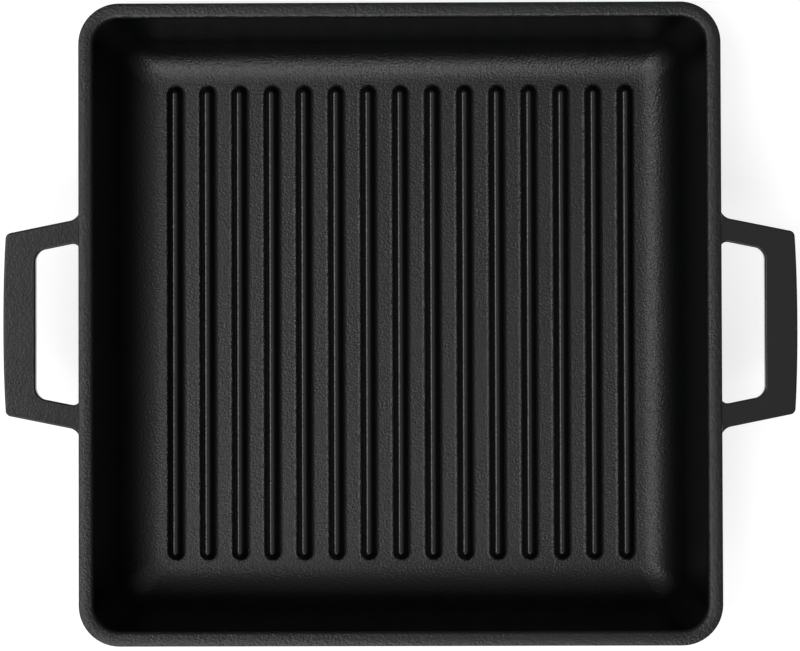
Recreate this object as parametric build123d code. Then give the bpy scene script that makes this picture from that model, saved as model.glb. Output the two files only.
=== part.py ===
from build123d import *
import math
import os

# A square cast grill pan with a loop handle on two sides. Lengths are in millimetres and angles
# in degrees. The pan stands on z = 0 with its middle over the origin. The handles point along x,
# and the ribs run along y.

# Pan
pan_height = 50.0
opening_width = 260.0
opening_corner = 11.0
rim_width = 6.5
rim_inner_round = 2.3
rim_outer_round = 0.6

# Cavity wall and floor
floor_thickness = 4.5
wall_lean = 9.4
wall_foot_thickness = 4.5
floor_sweep = 17.0
floor_corner = 5.0
sweep_steps = 6

# Ribs
rib_count = 15
rib_end_gap = 0.4
rib_side_gap = 2.1
rib_height = 4.2
rib_crown_flat = 0.5
rib_crown_round = 1.6
rib_flank_lean = 26.0
rib_root_round = 2.4
rib_root_lip = 0.15

# Handles
handle_reach = 32.7
handle_drop = 4.5
handle_thickness = 9.0
handle_root_width = 90.4
handle_tip_width = 77.6
handle_tip_bow = 1.1
handle_tip_corner = 2.6
handle_arm_width = 10.2
handle_bar_width = 14.0
handle_window_corner = 5.0
handle_draft = 6.0
handle_edge_round = 0.8
handle_under_round = 1.5
handle_root_round = 5.0
handle_window_root_round = 2.8
handle_root_land = 1.2
handle_root_splay = 55.0

# The outside follows the cavity at the thicknesses above.
opening_half = opening_width / 2
rim_half = opening_half + rim_width
cavity_foot_half = opening_half - wall_lean
outer_foot_half = cavity_foot_half + wall_foot_thickness
rim_corner = opening_corner + rim_width
outer_corner = floor_corner + floor_thickness
outer_sweep = floor_sweep + floor_thickness


def sweep_turn(rim_half_width, foot_half_width, low, high):
    """Angle through which the sweep turns, from the level bottom to the leaning wall."""
    return math.atan2(high - low, rim_half_width - foot_half_width)


def flat_half_width(foot_half_width, sweep, turn):
    """Half the width of the flat bottom, inside the sweep."""
    return foot_half_width - sweep * math.tan(turn / 2)


def rounded_square(half_width, corner, height):
    """Square outline with round corners at one height."""
    outline = RectangleRounded(2 * half_width, 2 * half_width, corner)
    return Pos(0, 0, height) * outline


def bowl_solid(rim_half_width, foot_half_width, rim_radius, flat_radius, sweep, low, high):
    """Solid with a flat bottom, a round sweep and leaning walls, up to an open rim.

    foot_half_width is where the leaning wall would meet the bottom without the sweep.
    """
    turn = sweep_turn(rim_half_width, foot_half_width, low, high)
    flat_half = flat_half_width(foot_half_width, sweep, turn)
    sections = []
    for step in range(sweep_steps + 1):
        share = step / sweep_steps
        angle = turn * share
        half = flat_half + sweep * math.sin(angle)
        height = low + sweep * (1 - math.cos(angle))
        corner = flat_radius + (rim_radius - flat_radius) * share
        sections.append(rounded_square(half, corner, height))
    lower = loft(sections)
    upper = loft([sections[-1], rounded_square(rim_half_width, rim_radius, high)], ruled=True)
    return lower + upper


def outer_blank():
    """Outside form of the pan, not yet hollowed."""
    return bowl_solid(rim_half, outer_foot_half, rim_corner, outer_corner, outer_sweep, 0, pan_height)


def make_pan_body():
    """Floor, walls and rim of the pan."""
    cavity = bowl_solid(
        opening_half,
        cavity_foot_half,
        opening_corner,
        floor_corner,
        floor_sweep,
        floor_thickness,
        pan_height,
    )
    body = outer_blank() - cavity
    top = body.faces().sort_by(Axis.Z)[-1]
    body = fillet(top.outer_wire().edges(), rim_outer_round)
    top = body.faces().sort_by(Axis.Z)[-1]
    return fillet(top.inner_wires()[0].edges(), rim_inner_round)


def rib_half_section():
    """Half of a rib's cross-section, with its root sweep and rounded crown, on the x-z plane."""
    flank = math.radians(rib_flank_lean)
    arc_run = math.cos(flank)
    arc_drop = 1 - math.sin(flank)
    high_x = rib_crown_flat / 2 + rib_crown_round * arc_run
    high_z = rib_height - rib_crown_round * arc_drop
    low_z = rib_root_lip + rib_root_round * arc_drop
    low_x = high_x + (high_z - low_z) * math.tan(flank)
    foot_x = low_x + rib_root_round * arc_run
    crown_edge = (rib_crown_flat / 2, rib_height)
    with BuildSketch(Plane.XZ) as half:
        with BuildLine():
            Line((0, 0), (foot_x, 0))
            Line((foot_x, 0), (foot_x, rib_root_lip))
            TangentArc((foot_x, rib_root_lip), (low_x, low_z), tangent=(-1, 0))
            Line((low_x, low_z), (high_x, high_z))
            TangentArc((high_x, high_z), crown_edge, tangent=(-math.sin(flank), math.cos(flank)))
            Line(crown_edge, (0, rib_height))
            Line((0, rib_height), (0, 0))
        make_face()
    return half.sketch, foot_x


def make_rib(number):
    """One rib standing on the flat floor, its two ends round. The ribs are numbered from 0."""
    half, foot_half = rib_half_section()
    turn = sweep_turn(opening_half, cavity_foot_half, floor_thickness, pan_height)
    floor_half = flat_half_width(cavity_foot_half, floor_sweep, turn)
    run = 2 * (floor_half - rib_end_gap - foot_half)
    outermost = floor_half - rib_side_gap - foot_half
    place = outermost * (2 * number / (rib_count - 1) - 1)
    whole = half + mirror(half, Plane.YZ)
    straight = Pos(0, run / 2, 0) * extrude(whole, run, dir=(0, -1, 0))
    end = revolve(half, Axis.Z, 180)
    far_end = Pos(0, run / 2, 0) * end
    near_end = Pos(0, -run / 2, 0) * Rot(0, 0, 180) * end
    rib = straight + far_end + near_end
    return Pos(place, 0, floor_thickness) * rib


def handle_plan():
    """Outline of the handle's top: two arms that draw in towards a bar and spread out along the rim."""
    tip_half = handle_tip_width / 2
    tip_x = rim_half + handle_reach - handle_tip_bow
    bar_x = rim_half + handle_reach - handle_bar_width
    root_y = handle_root_width / 2
    arm_angle = math.atan((root_y - tip_half) / (tip_x - rim_half))
    window_root_y = root_y - handle_arm_width / math.cos(arm_angle)
    window_bar_y = window_root_y - (bar_x - rim_half) * math.tan(arm_angle)
    outer_turn = math.pi / 2 - arm_angle
    window_turn = math.pi / 2 + arm_angle
    spread_y = root_y + handle_root_round * math.tan(outer_turn / 2) + handle_root_land
    window_round_run = handle_window_root_round * math.tan(window_turn / 2)
    window_spread_y = window_root_y - window_round_run - handle_root_land
    inner_x = outer_foot_half
    inner_run = (rim_half - inner_x) * math.tan(math.radians(handle_root_splay))
    tip = (tip_x, tip_half)
    root = (rim_half, root_y)
    bar = (bar_x, window_bar_y)
    window_root = (rim_half, window_root_y)
    outer_end = (inner_x, spread_y + inner_run)
    window_end = (inner_x, window_spread_y - inner_run)
    with BuildSketch() as plan:
        with BuildLine():
            side = Polyline(outer_end, (rim_half, spread_y), root, tip)
            ThreePointArc(tip, (tip_x + handle_tip_bow, 0), (tip_x, -tip_half))
            mirror(side, Plane.XZ)
            inside = Polyline(window_end, (rim_half, window_spread_y), window_root, bar)
            Line(bar, (bar_x, -window_bar_y))
            mirror(inside, Plane.XZ)
            for sign in (1, -1):
                Line((inner_x, sign * outer_end[1]), (inner_x, sign * window_end[1]))
        make_face()
        rounds = (
            (tip, handle_tip_corner),
            (bar, handle_window_corner),
            (root, handle_root_round),
            (window_root, handle_window_root_round),
        )
        for (x, y), radius in rounds:
            for sign in (1, -1):
                corner = plan.vertices().sort_by_distance((x, sign * y, 0))[0]
                fillet(corner, radius)
    return plan.sketch


def make_handle():
    """Loop handle on the +x side, its root lying against the pan's wall."""
    plate = extrude(handle_plan(), handle_thickness, dir=(0, 0, -1), taper=handle_draft)
    faces = plate.faces().sort_by(Axis.Z)
    plate = fillet(faces[-1].edges(), handle_edge_round)
    faces = plate.faces().sort_by(Axis.Z)
    plate = fillet(faces[0].edges(), handle_under_round)
    return Pos(0, 0, pan_height - handle_drop) * plate - outer_blank()


os.makedirs("parts", exist_ok=True)
handle = make_handle()
export_step(handle, "parts/handle_right.step")
export_step(Rot(0, 0, 180) * handle, "parts/handle_left.step")
export_step(make_pan_body(), "parts/pan_body.step")
for number in range(rib_count):
    export_step(make_rib(number), f"parts/rib_{number + 1:02d}.step")
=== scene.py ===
import math

import bmesh
import bpy
from bpy.props import FloatProperty, FloatVectorProperty, IntProperty, PointerProperty
from bpy.types import Operator, Panel, PropertyGroup
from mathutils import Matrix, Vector


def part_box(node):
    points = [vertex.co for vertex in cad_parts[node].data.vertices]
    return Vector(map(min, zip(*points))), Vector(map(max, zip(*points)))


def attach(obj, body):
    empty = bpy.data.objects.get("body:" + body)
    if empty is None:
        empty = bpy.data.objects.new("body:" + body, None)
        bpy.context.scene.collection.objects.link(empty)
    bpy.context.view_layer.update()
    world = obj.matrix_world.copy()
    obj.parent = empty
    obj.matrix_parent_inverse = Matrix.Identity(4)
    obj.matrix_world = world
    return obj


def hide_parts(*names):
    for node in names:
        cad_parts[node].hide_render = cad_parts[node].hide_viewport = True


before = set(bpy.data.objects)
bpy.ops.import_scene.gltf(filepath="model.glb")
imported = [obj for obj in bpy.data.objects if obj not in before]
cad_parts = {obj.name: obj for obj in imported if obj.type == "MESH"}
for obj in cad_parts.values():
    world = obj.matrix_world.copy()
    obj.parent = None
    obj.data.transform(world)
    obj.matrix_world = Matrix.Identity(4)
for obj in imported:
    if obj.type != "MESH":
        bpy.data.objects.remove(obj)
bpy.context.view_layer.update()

bl_info = {
    "name": "Square grill pan",
    "version": (1, 0, 0),
    "blender": (4, 5, 0),
    "location": "3D View > Sidebar > Grill pan",
    "description": "Models a square cast grill pan with its enamel and lights it in a plain studio",
    "category": "Object",
}

# What the frame gives
body_name = "root"
rib_nodes = sorted(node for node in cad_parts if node.startswith("rib_"))
pan_low, pan_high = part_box("pan_body")
rib_low, rib_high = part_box(rib_nodes[0])
handle_low, handle_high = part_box("handle_right")

# Edges that turn less than this are shaded smooth.
smooth_angle = math.radians(40)

# Share of a rib's half width that each round corner of its end takes up. All of it would leave two
# points in one place.
nearly_all = 0.998

# Share of each half of a handle's far edge that its bow takes up.
bow_share = 0.9

# Fixed settings of the enamel. An octave is a finer layer of a noise, and its gain is its strength
# beside the layer before. The flow noise mostly stays between the usual low and high.
enamel_ior = 1.5
grain_octaves = 2.0
grain_octave_gain = 0.55
flow_octaves = 3.0
flow_octave_gain = 0.5
flow_usual_low = 0.3
flow_usual_high = 0.7

# Fixed settings of the studio. The overhead light goes with this power of a direction's rise.
white = (1, 1, 1, 1)
overhead_gathering = 4.0


# Settings in the sidebar


def mm(millimetres):
    """A length in millimetres, in metres."""
    return millimetres / 1000


def linear_channel(channel):
    """Linear value of one sRGB channel, both from 0 to 1. The numbers are the sRGB standard's."""
    if channel <= 0.04045:
        return channel / 12.92
    return ((channel + 0.055) / 1.055) ** 2.4


def hex_colour(code):
    """Linear red, green, blue and alpha of an sRGB hex value."""
    channels = [int(code[place:place + 2], 16) / 255 for place in (1, 3, 5)]
    return (*[linear_channel(channel) for channel in channels], 1.0)


def length(name, description, default):
    """A length that a user may change."""
    return FloatProperty(
        name=name,
        description=description,
        default=default,
        min=0,
        unit="LENGTH",
        precision=5,
    )


def level(name, description, default):
    """A strength of light that a user may change."""
    return FloatProperty(name=name, description=description, default=default, min=0)


def share(name, description, default):
    """A plain number from 0 to 1 that a user may change."""
    return FloatProperty(
        name=name,
        description=description,
        default=default,
        min=0,
        max=1,
        subtype="FACTOR",
    )


def angle(name, description, default):
    """An angle that a user may change, its default in degrees."""
    return FloatProperty(
        name=name,
        description=description,
        default=math.radians(default),
        subtype="ANGLE",
    )


def colour(name, description, default):
    """A colour that a user may change, its default an sRGB hex value."""
    return FloatVectorProperty(
        name=name,
        description=description,
        default=hex_colour(default),
        size=4,
        min=0,
        max=1,
        subtype="COLOR",
    )


def steps(name, description, default):
    """A number of faces that a user may change."""
    return IntProperty(name=name, description=description, default=default, min=2)


class PanShape(PropertyGroup):
    """Sizes of the floor, walls and rim. The height is the frame's."""

    rim_half: length("Rim half width", "From the middle to the outer edge, unrounded", mm(136.5))
    rim_width: length("Rim width", "Width of the flat top of the wall, before its rounds", mm(6.5))
    opening_corner: length("Opening corner", "Corner radius of the opening", mm(11))
    rim_inner_round: length("Rim inner round", "Radius between the rim and the cavity", mm(2.3))
    rim_outer_round: length("Rim outer round", "Radius between the rim and the outside", mm(0.6))
    rim_crown: length("Rim crown", "Rise of the middle of the rim over its edges", mm(0.17))
    wall_lean: length("Wall lean", "How far the cavity wall leans out over its height", mm(9.4))
    wall_foot: length("Wall foot", "Thickness of the wall where it would meet the floor", mm(4.5))
    floor_sweep: length("Floor sweep", "Radius between the floor and the wall", mm(17))
    floor_corner: length("Floor corner", "Corner radius of the flat floor", mm(5))
    corner_steps: steps("Corner steps", "Faces round each corner", 16)
    sweep_steps: steps("Sweep steps", "Faces across each sweep", 24)
    round_steps: steps("Round steps", "Faces across each round of the rim", 8)


class RibShape(PropertyGroup):
    """Section of the ribs. Their number, length, height and places are the frame's."""

    crown_flat: length("Crown flat", "Width of the flat along the crown", mm(0.5))
    crown_round: length("Crown round", "Radius on each side of that flat", mm(1.6))
    flank_lean: angle("Flank lean", "Lean of the flanks from upright", 26)
    end_steps: steps("End steps", "Faces round each quarter of an end", 12)
    round_steps: steps("Round steps", "Faces across each round", 8)


class HandleShape(PropertyGroup):
    """Plan of the loop handles. Their reach and height are the frame's."""

    root_width: length("Root width", "Width across the two arms at the line of the rim", mm(90.4))
    tip_width: length("Tip width", "Width across the far corners", mm(77.6))
    tip_bow: length("Tip bow", "Rise of the bowed far edge", mm(1.1))
    tip_corner: length("Tip corner", "Corner radius at the far end", mm(2.6))
    arm_width: length("Arm width", "Width of each arm", mm(10.2))
    bar_width: length("Bar width", "Width of the bar that the hand holds", mm(14.0))
    window_corner: length("Window corner", "Corner radius of the window beside the bar", mm(5))
    edge_round: length("Edge round", "Radius along the upper edges", mm(0.8))
    under_round: length("Under round", "Radius along the lower edges", mm(1.5))
    draft: angle("Draft", "Lean of the sides inwards from top to bottom", 6)
    root_round: length("Root round", "Radius where an arm spreads out along the rim", mm(5))
    window_root_round: length("Window root round", "The same inside the window", mm(2.8))
    root_land: length("Root land", "Straight stretch along the rim after these rounds", mm(1.2))
    root_splay: angle("Root splay", "Slant at which the spread root runs into the wall", 55)
    corner_steps: steps("Corner steps", "Faces round each corner", 8)
    bow_steps: steps("Bow steps", "Faces along the bowed edge", 16)
    round_steps: steps("Round steps", "Faces across the round of each edge", 5)


class EnamelLook(PropertyGroup):
    """Finish of the enamel."""

    black: colour("Black", "Colour of the enamel itself", "#060707")
    thin_black: colour("Thin black", "Colour where the coat lies thinner", "#0b0c0c")
    roughness: share("Roughness", "Roughness of the floor, walls and handles", 0.21)
    rib_roughness: share("Rib roughness", "The same on the crowns of the ribs", 0.12)
    mottling: share("Mottling", "How far the roughness wanders to each side", 0.03)
    flow_size: length("Flow size", "Size of the patches of gloss and tone", mm(14))
    grain_size: length("Grain size", "Size of the bumps that the sand mould leaves", mm(0.9))
    grain_depth: length("Grain depth", "Depth of those bumps under the coat", mm(0.3))
    rib_grain_depth: length("Rib grain depth", "The same on the crowns of the ribs", mm(0.09))
    handle_grain_depth: length("Handle grain depth", "The same on the dressed handles", mm(0.08))
    pit_spacing: length("Pit spacing", "Distance between the pits of the casting", mm(9))
    pit_size: length("Pit size", "Half width of a pit", mm(0.5))
    pit_depth: length("Pit depth", "Depth of a pit under the coat", mm(0.1))


class StudioLook(PropertyGroup):
    """Light, ground and camera."""

    ground: colour("Ground", "Colour of the ground as a surface that passes light on", "#e8e8e8")
    ground_width: length("Ground width", "Width of the ground", 24.0)
    ground_lift: share("Ground lift", "White that the ground shows by itself", 0.7)
    shadow_share: share("Shadow share", "Part of the ground's white that answers to light", 0.6)
    overhead: level("Overhead", "Light from straight overhead, over that from the horizon", 0.45)
    all_round: level("All round", "Light from the horizon", 0.17)
    fill_lean: FloatVectorProperty(
        name="Fill lean",
        description="Side that the soft light leans to",
        default=(-0.09, -0.03, 0),
        subtype="XYZ",
    )
    side_key_strength: level("Side key strength", "Its light on a surface that faces it", 0.56)
    side_key_spread: angle("Side key spread", "Width of the side key as the pan sees it", 26)
    side_key_turn: angle("Side key turn", "Side that it stands on, from +X", 180)
    side_key_tilt: angle("Side key tilt", "Lean of the side key from overhead", 28)
    front_key_strength: level("Front key strength", "Its light on a surface that faces it", 0.9)
    front_key_spread: angle("Front key spread", "Width of the front key as the pan sees it", 36)
    front_key_turn: angle("Front key turn", "Side that it stands on, from +X", -102)
    front_key_tilt: angle("Front key tilt", "Lean of the front key from overhead", 38)
    sensor: FloatProperty(
        name="Sensor",
        description="Width of the camera's sensor in mm",
        default=36,
        min=1,
    )
    lens: FloatProperty(name="Lens", description="Focal length in mm", default=95.64, min=1)
    camera_place: FloatVectorProperty(
        name="Camera place",
        description="Place of the camera, nearly over the middle of the pan",
        default=(mm(5.1), mm(11.3), mm(950)),
        subtype="TRANSLATION",
        unit="LENGTH",
    )
    camera_turn: FloatVectorProperty(
        name="Camera turn",
        description="Turn of the camera from straight down",
        default=(math.radians(0.74), math.radians(0.32), math.radians(-0.17)),
        subtype="EULER",
    )
    camera_shift: FloatProperty(
        name="Camera shift",
        description="Vertical shift of the lens",
        default=-0.07,
    )


# Modelling steps


def begin_piece(name):
    """A new empty object at the origin, in edit mode."""
    bpy.ops.object.select_all(action="DESELECT")
    bpy.ops.mesh.primitive_plane_add(size=1)
    piece = bpy.context.active_object
    piece.name = name
    piece.data.name = name
    bpy.ops.object.mode_set(mode="EDIT")
    bpy.ops.mesh.select_mode(type="VERT")
    bpy.ops.mesh.delete(type="VERT")
    return piece


def add_outline(outline, corner_steps):
    """Adds a face with round corners, and leaves it selected.

    The outline is (half x, half y, corner radius, height).
    """
    half_x, half_y, corner, height = outline
    bpy.ops.mesh.select_all(action="DESELECT")
    bpy.ops.mesh.primitive_plane_add(size=2 * half_x, location=(0, 0, height))
    bpy.ops.transform.resize(value=(1, half_y / half_x, 1))
    bpy.ops.mesh.bevel(offset=corner, segments=corner_steps, affect="VERTICES")


def select_open_edges():
    """Selects the edges that have fewer than two faces."""
    bpy.ops.mesh.select_all(action="DESELECT")
    bpy.ops.mesh.select_non_manifold(
        use_wire=True,
        use_boundary=True,
        use_multi_face=False,
        use_non_contiguous=False,
        use_verts=False,
    )


def select_where(wanted):
    """Selects the vertices whose place is wanted, with the edges and faces between them."""
    mesh = bmesh.from_edit_mesh(bpy.context.edit_object.data)
    bpy.ops.mesh.select_all(action="DESELECT")
    for vertex in mesh.verts:
        vertex.select_set(wanted(vertex.co))
    mesh.select_flush(True)
    bmesh.update_edit_mesh(bpy.context.edit_object.data)


def skin_outlines(name, outlines, corner_steps):
    """A closed solid through a list of outlines, with a flat face at each end of the list."""
    piece = begin_piece(name)
    add_outline(outlines[0], corner_steps)
    for outline in outlines[1:]:
        add_outline(outline, corner_steps)
        bpy.ops.mesh.delete(type="ONLY_FACE")
        select_open_edges()
        bpy.ops.mesh.bridge_edge_loops()
    select_open_edges()
    bpy.ops.mesh.edge_face_add()
    close_piece(piece)
    return piece


def activate(piece):
    """Selects one object and nothing else."""
    bpy.ops.object.select_all(action="DESELECT")
    piece.select_set(True)
    bpy.context.view_layer.objects.active = piece


def close_piece(piece):
    """Turns all faces outwards, leaves edit mode and smooths the shading of the rounds."""
    bpy.ops.mesh.select_all(action="SELECT")
    bpy.ops.mesh.normals_make_consistent(inside=False)
    bpy.ops.object.mode_set(mode="OBJECT")
    activate(piece)
    bpy.ops.object.shade_smooth_by_angle(angle=smooth_angle)
    weighting = piece.modifiers.new("Keep flat faces flat", "WEIGHTED_NORMAL")
    weighting.keep_sharp = True
    bpy.ops.object.modifier_apply(modifier=weighting.name)


def copy_piece(piece, name):
    """A copy with its own mesh."""
    twin = piece.copy()
    twin.data = piece.data.copy()
    twin.name = name
    twin.data.name = name
    bpy.context.collection.objects.link(twin)
    return twin


def settle_piece(piece):
    """Moves a piece's place and turn from its object into its mesh."""
    activate(piece)
    bpy.ops.object.transform_apply(location=True, rotation=True, scale=True)


def finish_piece(piece, node, material):
    """Gives a piece its finish and its place in the frame."""
    piece.data.materials.clear()
    piece.data.materials.append(material)
    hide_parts(node)
    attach(piece, body_name)


# Pan


def opening_half(pan):
    """Half width of the opening at the height of the rim, before its round."""
    return pan.rim_half - pan.rim_width


def cavity_foot_half(pan):
    """Half width at which the cavity wall would meet the floor without its sweep."""
    return opening_half(pan) - pan.wall_lean


def outer_foot_half(pan):
    """Half width at which the outside would meet the ground without its sweep."""
    return cavity_foot_half(pan) + pan.wall_foot


def wall_turn(rim_half, foot_half, low):
    """Turn from level to the slant of a wall that rises from low to the rim."""
    return math.atan2(pan_high.z - low, rim_half - foot_half)


def bowl_outlines(rim_half, foot_half, rim_corner, flat_corner, sweep, low, sweep_steps):
    """Outlines from the edge of a flat bottom to the end of the sweep at its wall."""
    turn = wall_turn(rim_half, foot_half, low)
    flat_half = foot_half - sweep * math.tan(turn / 2)
    outlines = []
    for step in range(sweep_steps + 1):
        part = step / sweep_steps
        half = flat_half + sweep * math.sin(turn * part)
        height = low + sweep * (1 - math.cos(turn * part))
        outlines.append((half, half, flat_corner + (rim_corner - flat_corner) * part, height))
    return outlines


def cavity_outlines(pan):
    """Outlines of the cavity's floor and sweep."""
    return bowl_outlines(
        opening_half(pan),
        cavity_foot_half(pan),
        pan.opening_corner,
        pan.floor_corner,
        pan.floor_sweep,
        rib_low.z,
        pan.sweep_steps,
    )


def outside_outlines(pan):
    """Outlines of the outside's bottom and sweep, the iron's thickness away from the cavity's."""
    thickness = rib_low.z - pan_low.z
    return bowl_outlines(
        pan.rim_half,
        outer_foot_half(pan),
        pan.opening_corner + pan.rim_width,
        pan.floor_corner + thickness,
        pan.floor_sweep + thickness,
        pan_low.z,
        pan.sweep_steps,
    )


def rim_outline(pan, half, height):
    """One outline of the rim, its corners round about the same points as those of the opening."""
    corner = pan.opening_corner + max(half - opening_half(pan), 0)
    return (half, half, corner, height)


def rim_inner_outlines(pan):
    """Outlines of the round from the cavity's wall to the top of the rim."""
    turn = wall_turn(opening_half(pan), cavity_foot_half(pan), rib_low.z)
    centre = opening_half(pan) + pan.rim_inner_round * math.tan(turn / 2)
    top = pan_high.z - pan.rim_crown
    outlines = []
    for step in range(pan.round_steps + 1):
        bend = turn * (1 - step / pan.round_steps)
        half = centre - pan.rim_inner_round * math.sin(bend)
        height = top - pan.rim_inner_round * (1 - math.cos(bend))
        outlines.append(rim_outline(pan, half, height))
    return outlines


def rim_top_outlines(pan):
    """Outlines across the gently crowned top of the rim, between its two rounds."""
    inner_half = rim_inner_outlines(pan)[-1][0]
    outer_half = rim_outer_outlines(pan)[0][0]
    outlines = []
    for step in range(1, pan.round_steps):
        part = step / pan.round_steps
        half = inner_half + (outer_half - inner_half) * part
        height = pan_high.z - pan.rim_crown * (2 * part - 1) ** 2
        outlines.append(rim_outline(pan, half, height))
    return outlines


def rim_outer_outlines(pan):
    """Outlines of the round from the top of the rim to the outside."""
    turn = math.pi - wall_turn(pan.rim_half, outer_foot_half(pan), pan_low.z)
    centre = pan.rim_half - pan.rim_outer_round * math.tan(turn / 2)
    top = pan_high.z - pan.rim_crown
    outlines = []
    for step in range(pan.round_steps + 1):
        bend = turn * step / pan.round_steps
        half = centre + pan.rim_outer_round * math.sin(bend)
        height = top - pan.rim_outer_round * (1 - math.cos(bend))
        outlines.append(rim_outline(pan, half, height))
    return outlines


class GRILLPAN_OT_body(Operator):
    """Model the floor, walls and rim of the pan"""

    bl_idname = "grillpan.body"
    bl_label = "Pan body"
    bl_options = {"REGISTER", "UNDO"}

    def execute(self, context):
        pan = context.scene.pan_shape
        outlines = [
            *cavity_outlines(pan),
            *rim_inner_outlines(pan),
            *rim_top_outlines(pan),
            *rim_outer_outlines(pan),
            *reversed(outside_outlines(pan)),
        ]
        body = skin_outlines("enamelled_body", outlines, pan.corner_steps)
        look = context.scene.enamel_look
        finish_piece(body, "pan_body", satin_enamel(look, "Satin black enamel", look.grain_depth))
        return {"FINISHED"}


# Ribs


def rib_outlines(rib):
    """Outlines of the first rib about the middle, from the edge of its foot up to its crown."""
    foot_edge = (rib_high.x - rib_low.x) / 2
    run = (rib_high.y - rib_low.y) / 2 - foot_edge
    rise = rib_high.z - rib_low.z
    crown_edge = rib.crown_flat / 2
    turn = math.pi / 2 - rib.flank_lean
    both_rounds = (foot_edge - crown_edge - rise * math.tan(rib.flank_lean)) / math.tan(turn / 2)
    root_round = both_rounds - rib.crown_round
    section = []
    for step in range(rib.round_steps + 1):
        bend = turn * step / rib.round_steps
        half = foot_edge - root_round * math.sin(bend)
        section.append((half, rib_low.z + root_round * (1 - math.cos(bend))))
    for step in range(rib.round_steps + 1):
        bend = turn * (1 - step / rib.round_steps)
        half = crown_edge + rib.crown_round * math.sin(bend)
        section.append((half, rib_high.z - rib.crown_round * (1 - math.cos(bend))))
    return [(half, run + half, nearly_all * half, height) for half, height in section]


class GRILLPAN_OT_ribs(Operator):
    """Model one rib and copy it to each place that the frame gives"""

    bl_idname = "grillpan.ribs"
    bl_label = "Ribs"
    bl_options = {"REGISTER", "UNDO"}

    def execute(self, context):
        rib_shape = context.scene.rib_shape
        material = rib_enamel(context.scene.enamel_look)
        pattern = skin_outlines("rib_pattern", rib_outlines(rib_shape), rib_shape.end_steps)
        for node in rib_nodes:
            low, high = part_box(node)
            rib = copy_piece(pattern, f"enamelled_{node}")
            rib.location.x = (low.x + high.x) / 2
            settle_piece(rib)
            finish_piece(rib, node, material)
        bpy.data.objects.remove(pattern)
        return {"FINISHED"}


# Handles


def handle_full_reach(handle):
    """Place along x of the far edge of the handle's top, before its round."""
    turn = math.pi / 2 + handle.draft
    return handle_high.x + handle.edge_round * (math.tan(turn / 2) - 1)


def handle_corners(handle, pan):
    """Half of the top's outline, from the bar by way of the wall to the far end.

    Each corner is (x, y, radius).
    """
    tip_half = handle.tip_width / 2
    tip_x = handle_full_reach(handle) - handle.tip_bow
    bar_x = handle_full_reach(handle) - handle.bar_width
    foot_x = outer_foot_half(pan)
    root_y = handle.root_width / 2
    arm_angle = math.atan((root_y - tip_half) / (tip_x - pan.rim_half))
    window_root_y = root_y - handle.arm_width / math.cos(arm_angle)
    window_bar_y = window_root_y - (bar_x - pan.rim_half) * math.tan(arm_angle)
    outer_round_run = handle.root_round * math.tan((math.pi / 2 - arm_angle) / 2)
    window_round_run = handle.window_root_round * math.tan((math.pi / 2 + arm_angle) / 2)
    spread_y = root_y + outer_round_run + handle.root_land
    window_spread_y = window_root_y - window_round_run - handle.root_land
    foot_run = (pan.rim_half - foot_x) * math.tan(handle.root_splay)
    return [
        (bar_x, window_bar_y, handle.window_corner),
        (pan.rim_half, window_root_y, handle.window_root_round),
        (pan.rim_half, window_spread_y, 0),
        (foot_x, window_spread_y - foot_run, 0),
        (foot_x, spread_y + foot_run, 0),
        (pan.rim_half, spread_y, 0),
        (pan.rim_half, root_y, handle.root_round),
        (tip_x, tip_half, handle.tip_corner),
    ]


def turn_between(before, here, after):
    """Angle through which an outline turns at a corner."""
    first = Vector(here[:2]) - Vector(before[:2])
    second = Vector(after[:2]) - Vector(here[:2])
    return first.angle(second)


def bevel_corner(place, offset, corner_steps):
    """Rounds the corner of an outline that lies nearest to a place."""
    spot = Vector(place[:2])
    mesh = bmesh.from_edit_mesh(bpy.context.edit_object.data)
    nearest = min((vertex.co.xy - spot).length for vertex in mesh.verts)
    select_where(lambda co: (co.xy - spot).length <= nearest)
    bpy.ops.mesh.bevel(offset=offset, segments=corner_steps, affect="VERTICES")


def move_corner(number, place):
    """Moves one corner of the only face of the mesh being edited to a place."""
    mesh = bmesh.from_edit_mesh(bpy.context.edit_object.data)
    mesh.faces.ensure_lookup_table()
    corner = mesh.faces[0].verts[number]
    bpy.ops.mesh.select_all(action="DESELECT")
    corner.select_set(True)
    bpy.ops.transform.translate(value=Vector(place) - corner.co)


def add_handle_plan(handle, pan):
    """Adds the handle's outline as one face at the height of its top, with its corners rounded.

    The far edge starts as a blunt corner, which a wide bevel turns into a bow. Rounding brings the
    tip of a corner down by 2 - sqrt(2) times its bevel's height, so the corner starts higher.
    """
    half = handle_corners(handle, pan)
    other_half = [(x, -y, radius) for x, y, radius in half]
    height_left = 1 - bow_share * (2 - math.sqrt(2))
    bow = (half[-1][0] + handle.tip_bow / height_left, 0, 0)
    corners = [*reversed(half), *other_half, bow]
    bpy.ops.mesh.primitive_circle_add(
        vertices=len(corners),
        fill_type="NGON",
        location=(0, 0, handle_high.z),
    )
    for number, (x, y, _) in enumerate(corners):
        move_corner(number, (x, y, handle_high.z))
    bevel_corner(bow, bow_share * handle.tip_width / 2, handle.bow_steps)
    for before, here, after in zip(corners[-1:] + corners[:-1], corners, corners[1:] + corners[:1]):
        if here[2] > 0:
            run = here[2] * math.tan(turn_between(before, here, after) / 2)
            bevel_corner(here, run, handle.corner_steps)


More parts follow.
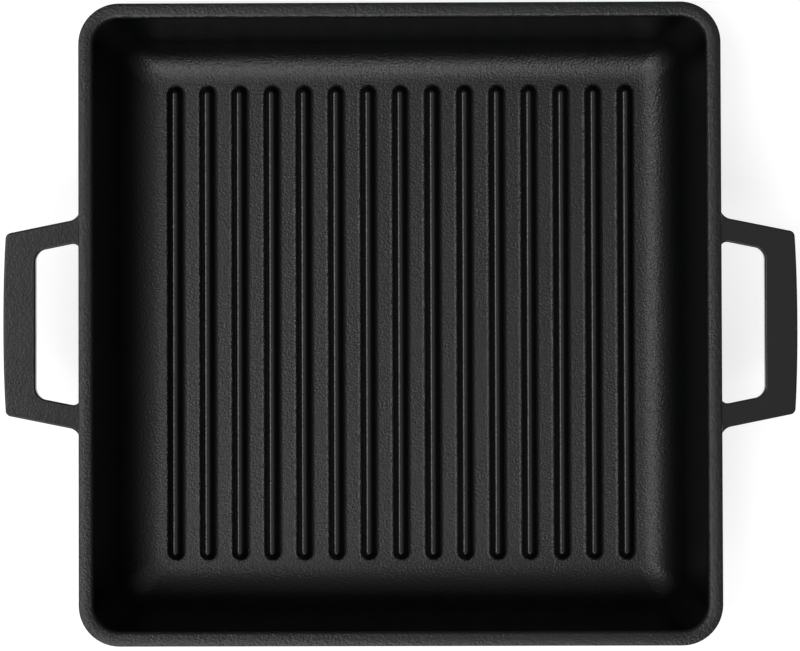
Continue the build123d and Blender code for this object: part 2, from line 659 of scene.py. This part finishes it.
def build_handle(handle, pan):
    """The loop handle on the +x side: a tapered plate with round edges, cut off along the wall."""
    piece = begin_piece("enamelled_handle_right")
    add_handle_plan(handle, pan)
    thickness = handle_high.z - handle_low.z
    bpy.ops.mesh.select_all(action="SELECT")
    bpy.ops.mesh.inset(thickness=thickness * math.tan(handle.draft), use_even_offset=True)
    bpy.ops.transform.translate(value=(0, 0, -thickness))
    select_open_edges()
    bpy.ops.mesh.edge_face_add()
    edges = (
        (handle_high.z, handle.edge_round, math.pi / 2 + handle.draft),
        (handle_low.z, handle.under_round, math.pi / 2 - handle.draft),
    )
    # Far less than the plate's thickness, and far more than the error of a stored place
    level_slack = thickness / 100
    for height, radius, turn in edges:
        select_where(lambda co: abs(co.z - height) < level_slack)
        run = radius * math.tan(turn / 2)
        bpy.ops.mesh.bevel(offset=run, segments=handle.round_steps, affect="EDGES")
    slant = Vector((pan_high.z - pan_low.z, 0, outer_foot_half(pan) - pan.rim_half))
    bpy.ops.mesh.select_all(action="SELECT")
    bpy.ops.mesh.bisect(
        plane_co=(pan.rim_half, 0, pan_high.z),
        plane_no=slant.normalized(),
        use_fill=True,
        clear_inner=True,
    )
    close_piece(piece)
    return piece


class GRILLPAN_OT_handles(Operator):
    """Model one loop handle and turn a copy of it to the other side"""

    bl_idname = "grillpan.handles"
    bl_label = "Handles"
    bl_options = {"REGISTER", "UNDO"}

    def execute(self, context):
        look = context.scene.enamel_look
        material = satin_enamel(look, "Black enamel on dressed iron", look.handle_grain_depth)
        right = build_handle(context.scene.handle_shape, context.scene.pan_shape)
        left = copy_piece(right, "enamelled_handle_left")
        left.rotation_euler.z = math.pi
        settle_piece(left)
        finish_piece(right, "handle_right", material)
        finish_piece(left, "handle_left", material)
        return {"FINISHED"}


# Materials


def add_node(tree, kind, settings=None, inputs=None):
    """Adds a node. Each input is a value, or the socket that feeds it."""
    node = tree.nodes.new(kind)
    for name, value in (settings or {}).items():
        setattr(node, name, value)
    for name, value in (inputs or {}).items():
        if isinstance(value, bpy.types.NodeSocket):
            tree.links.new(value, node.inputs[name])
        else:
            node.inputs[name].default_value = value
    return node


def new_material(name):
    """A material with no nodes yet."""
    material = bpy.data.materials.new(name)
    material.use_nodes = True
    material.node_tree.nodes.clear()
    return material


def coat_with_enamel(tree, look, place, roughness, grain_depth):
    """Nodes of the enamel: a grain of bumps, small pits and a slow mottling of gloss and tone."""
    grain = add_node(tree, "ShaderNodeTexNoise", {}, {
        "Vector": place,
        "Scale": 1 / look.grain_size,
        "Detail": grain_octaves,
        "Roughness": grain_octave_gain,
    })
    flow = add_node(tree, "ShaderNodeTexNoise", {}, {
        "Vector": place,
        "Scale": 1 / look.flow_size,
        "Detail": flow_octaves,
        "Roughness": flow_octave_gain,
    })
    cells = add_node(tree, "ShaderNodeTexVoronoi", {}, {
        "Vector": place,
        "Scale": 1 / look.pit_spacing,
    })
    pits = add_node(tree, "ShaderNodeMapRange", {}, {
        "Value": cells.outputs["Distance"],
        "From Min": 0.0,
        "From Max": look.pit_size / look.pit_spacing,
    })
    mottling = add_node(tree, "ShaderNodeMapRange", {}, {
        "Value": flow.outputs["Fac"],
        "From Min": flow_usual_low,
        "From Max": flow_usual_high,
        "To Min": -look.mottling,
        "To Max": look.mottling,
    })
    uneven = add_node(tree, "ShaderNodeMath", {"operation": "ADD"}, {
        0: mottling.outputs["Result"],
        1: roughness,
    })
    tone = add_node(tree, "ShaderNodeMix", {"data_type": "RGBA"}, {0: flow.outputs["Fac"]})
    tone.inputs["A"].default_value = look.black
    tone.inputs["B"].default_value = look.thin_black
    bumps = add_node(tree, "ShaderNodeBump", {}, {
        "Distance": grain_depth,
        "Height": grain.outputs["Fac"],
    })
    pitted = add_node(tree, "ShaderNodeBump", {}, {
        "Distance": look.pit_depth,
        "Height": pits.outputs["Result"],
        "Normal": bumps.outputs["Normal"],
    })
    coat = add_node(tree, "ShaderNodeBsdfPrincipled", {}, {
        "Base Color": tone.outputs["Result"],
        "Roughness": uneven.outputs[0],
        "IOR": enamel_ior,
        "Normal": pitted.outputs["Normal"],
    })
    add_node(tree, "ShaderNodeOutputMaterial", {}, {"Surface": coat.outputs["BSDF"]})


def satin_enamel(look, name, grain_depth):
    """Black enamel fired over sand-cast iron: satin, with a fine grain that breaks up its gloss."""
    material = new_material(name)
    tree = material.node_tree
    place = add_node(tree, "ShaderNodeTexCoord").outputs["Object"]
    coat_with_enamel(tree, look, place, look.roughness, grain_depth)
    return material


def rib_enamel(look):
    """The same enamel, smoother from the foot of a rib to half its height and smooth above that.

    The smooth crown catches a narrow bright line.
    """
    material = new_material("Black enamel run smooth")
    tree = material.node_tree
    place = add_node(tree, "ShaderNodeTexCoord").outputs["Object"]
    height = add_node(tree, "ShaderNodeSeparateXYZ", {}, {"Vector": place}).outputs["Z"]
    middle = (rib_low.z + rib_high.z) / 2
    roughness = add_node(tree, "ShaderNodeMapRange", {}, {
        "Value": height,
        "From Min": rib_low.z,
        "From Max": middle,
        "To Min": look.roughness,
        "To Max": look.rib_roughness,
    })
    grain_depth = add_node(tree, "ShaderNodeMapRange", {}, {
        "Value": height,
        "From Min": rib_low.z,
        "From Max": middle,
        "To Min": look.grain_depth,
        "To Max": look.rib_grain_depth,
    })
    coat_with_enamel(tree, look, place, roughness.outputs["Result"], grain_depth.outputs["Result"])
    return material


def ground_paper(studio):
    """White paper. The camera and reflections see it lifted to white with the pan's soft shadow.

    To diffuse light it is plain paper.
    """
    material = new_material("White paper")
    tree = material.node_tree
    rays = add_node(tree, "ShaderNodeLightPath").outputs
    seen_or_mirrored = add_node(tree, "ShaderNodeMath", {"operation": "MAXIMUM"}, {
        0: rays["Is Camera Ray"],
        1: rays["Is Glossy Ray"],
    })
    seen = add_node(tree, "ShaderNodeMath", {"operation": "MAXIMUM"}, {
        0: seen_or_mirrored.outputs[0],
        1: rays["Is Transmission Ray"],
    })
    grey = (studio.shadow_share, studio.shadow_share, studio.shadow_share, 1)
    paper = add_node(tree, "ShaderNodeBsdfDiffuse", {}, {"Color": studio.ground})
    shaded = add_node(tree, "ShaderNodeBsdfDiffuse", {}, {"Color": grey})
    lift = add_node(tree, "ShaderNodeEmission", {}, {"Strength": studio.ground_lift})
    lifted = add_node(tree, "ShaderNodeAddShader", {}, {0: shaded.outputs[0], 1: lift.outputs[0]})
    both = add_node(tree, "ShaderNodeMixShader", {}, {
        0: seen.outputs[0],
        1: paper.outputs[0],
        2: lifted.outputs[0],
    })
    add_node(tree, "ShaderNodeOutputMaterial", {}, {"Surface": both.outputs[0]})
    return material


# Studio


def light_world(studio):
    """Soft light, strongest overhead and a little stronger from -X and -Y.

    The camera sees plain white instead.
    """
    world = bpy.data.worlds.new("Soft studio")
    world.use_nodes = True
    tree = world.node_tree
    tree.nodes.clear()
    way = add_node(tree, "ShaderNodeTexCoord").outputs["Generated"]
    rise = add_node(tree, "ShaderNodeSeparateXYZ", {}, {"Vector": way}).outputs["Z"]
    gathered = add_node(tree, "ShaderNodeMath", {"operation": "POWER", "use_clamp": True}, {
        0: rise,
        1: overhead_gathering,
    })
    overhead = add_node(tree, "ShaderNodeMath", {"operation": "MULTIPLY_ADD"}, {
        0: gathered.outputs[0],
        1: studio.overhead,
        2: studio.all_round,
    })
    lean = add_node(tree, "ShaderNodeVectorMath", {"operation": "DOT_PRODUCT"}, {
        0: way,
        1: studio.fill_lean,
    })
    glow = add_node(tree, "ShaderNodeMath", {"operation": "ADD", "use_clamp": True}, {
        0: overhead.outputs[0],
        1: lean.outputs["Value"],
    })
    light = add_node(tree, "ShaderNodeBackground", {}, {
        "Color": white,
        "Strength": glow.outputs[0],
    })
    backdrop = add_node(tree, "ShaderNodeBackground", {}, {"Color": white, "Strength": 1.0})
    rays = add_node(tree, "ShaderNodeLightPath").outputs
    seen = add_node(tree, "ShaderNodeMath", {"operation": "MAXIMUM"}, {
        0: rays["Is Camera Ray"],
        1: rays["Is Transmission Ray"],
    })
    both = add_node(tree, "ShaderNodeMixShader", {}, {
        0: seen.outputs[0],
        1: light.outputs[0],
        2: backdrop.outputs[0],
    })
    add_node(tree, "ShaderNodeOutputWorld", {}, {"Surface": both.outputs[0]})
    bpy.context.scene.world = world


def add_key(name, strength, spread, turn, tilt):
    """A wide soft light from one side."""
    bpy.ops.object.light_add(type="SUN", rotation=(0, tilt, turn))
    key = bpy.context.active_object
    key.name = name
    key.data.energy = strength
    key.data.angle = spread


def add_keys(studio):
    """The two key lights.

    The side key draws the bright line along each rib, the front key the one along the far sweep.
    """
    add_key(
        "Side key",
        studio.side_key_strength,
        studio.side_key_spread,
        studio.side_key_turn,
        studio.side_key_tilt,
    )
    add_key(
        "Front key",
        studio.front_key_strength,
        studio.front_key_spread,
        studio.front_key_turn,
        studio.front_key_tilt,
    )


def add_camera(studio):
    """The camera over the pan, at the photograph's angle."""
    bpy.ops.object.camera_add(location=studio.camera_place, rotation=studio.camera_turn)
    camera = bpy.context.active_object
    camera.name = "Camera"
    camera.data.sensor_width = studio.sensor
    camera.data.lens = studio.lens
    camera.data.shift_y = studio.camera_shift
    bpy.context.scene.camera = camera


class GRILLPAN_OT_studio(Operator):
    """Lay the ground, and set the light and the camera"""

    bl_idname = "grillpan.studio"
    bl_label = "Studio"
    bl_options = {"REGISTER", "UNDO"}

    def execute(self, context):
        studio = context.scene.studio_look
        bpy.ops.object.select_all(action="DESELECT")
        bpy.ops.mesh.primitive_plane_add(size=studio.ground_width)
        ground = context.active_object
        ground.name = "ground"
        ground.data.materials.append(ground_paper(studio))
        light_world(studio)
        add_keys(studio)
        add_camera(studio)
        context.scene.view_settings.view_transform = "Standard"
        return {"FINISHED"}


# Panel


class VIEW3D_PT_grill_pan(Panel):
    """Sizes, finish and studio of the grill pan"""

    bl_label = "Grill pan"
    bl_idname = "VIEW3D_PT_grill_pan"
    bl_space_type = "VIEW_3D"
    bl_region_type = "UI"
    bl_category = "Grill pan"

    def draw(self, context):
        for operator, group in panel_rows:
            box = self.layout.box()
            if operator:
                box.operator(operator)
            settings = getattr(context.scene, group)
            for name in settings.__annotations__:
                box.prop(settings, name)


panel_rows = (
    ("", "enamel_look"),
    ("grillpan.body", "pan_shape"),
    ("grillpan.ribs", "rib_shape"),
    ("grillpan.handles", "handle_shape"),
    ("grillpan.studio", "studio_look"),
)
groups = {
    "pan_shape": PanShape,
    "rib_shape": RibShape,
    "handle_shape": HandleShape,
    "enamel_look": EnamelLook,
    "studio_look": StudioLook,
}
operators = (GRILLPAN_OT_body, GRILLPAN_OT_ribs, GRILLPAN_OT_handles, GRILLPAN_OT_studio)


def register():
    """Adds the settings, the operators and the panel to Blender."""
    for kind in (*groups.values(), *operators, VIEW3D_PT_grill_pan):
        bpy.utils.register_class(kind)
    for name, group in groups.items():
        setattr(bpy.types.Scene, name, PointerProperty(type=group))


def unregister():
    """Takes them away again."""
    for name in groups:
        delattr(bpy.types.Scene, name)
    for kind in reversed((*groups.values(), *operators, VIEW3D_PT_grill_pan)):
        bpy.utils.unregister_class(kind)


def main():
    """Builds the pan and its studio."""
    register()
    bpy.ops.grillpan.body()
    bpy.ops.grillpan.ribs()
    bpy.ops.grillpan.handles()
    bpy.ops.grillpan.studio()


if __name__ == "__main__":
    main()
